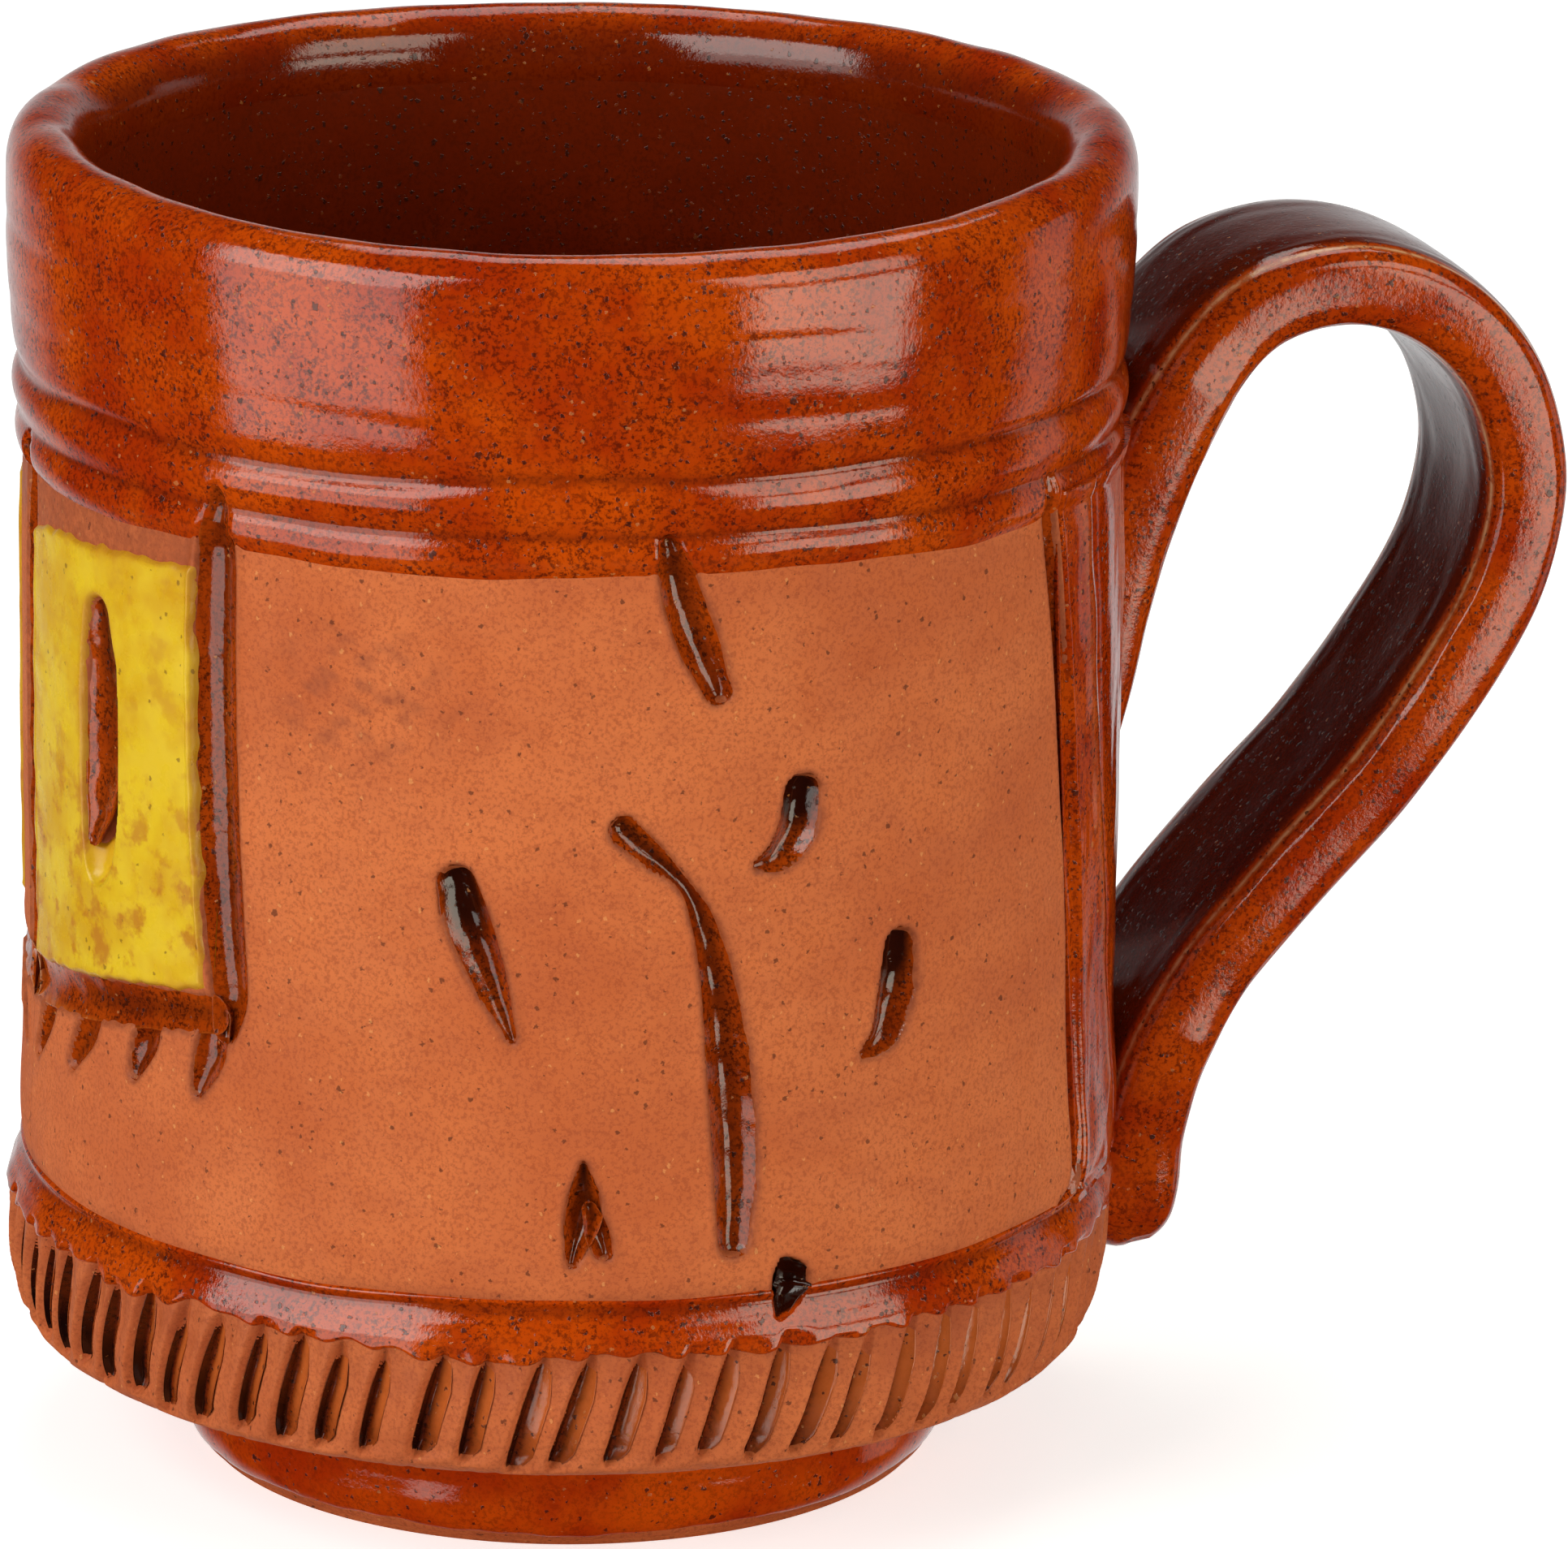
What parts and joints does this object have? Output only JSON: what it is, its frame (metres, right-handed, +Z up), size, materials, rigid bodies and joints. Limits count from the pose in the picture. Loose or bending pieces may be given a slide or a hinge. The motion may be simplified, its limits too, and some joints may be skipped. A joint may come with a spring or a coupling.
{
  "type": "clay mug",
  "caption": "Thrown clay mug with a glazed collar, a carved bare field, a notched band, a turned foot and a pulled strap handle.",
  "frame": {"origin": "centre of the foot's flat underside, on the cup's axis", "axes": "+Z up along the cup's axis, +X towards the handle"},
  "size_m": [0.1223, 0.0876, 0.105],
  "materials": {
    "terracotta": "matte unglazed clay",
    "amber_glaze": "gloss amber glaze with specks",
    "lining_glaze": "gloss dark amber glaze",
    "yellow_glaze": "gloss yellow glaze",
    "groove_glaze": "gloss dark amber glaze pooled in the carving",
    "notch_glaze": "gloss dark brown glaze pooled in the notches"
  },
  "bodies": {
    "root": {"body": "terracotta", "foot": "terracotta", "notched_band": "terracotta", "handle": "terracotta", "lining_glaze": "lining_glaze", "collar_glaze": "amber_glaze", "shoulder_glaze": "amber_glaze", "foot_glaze": "amber_glaze", "handle_glaze": "amber_glaze", "handle_patch_glaze": "amber_glaze", "panel_glaze": "yellow_glaze", "panel_frame_glaze": "groove_glaze", "slit_glaze": "groove_glaze", "carving_glaze": "groove_glaze", "border_glaze": "groove_glaze", "notch_glaze": "notch_glaze"}
  },
  "joints": []
}
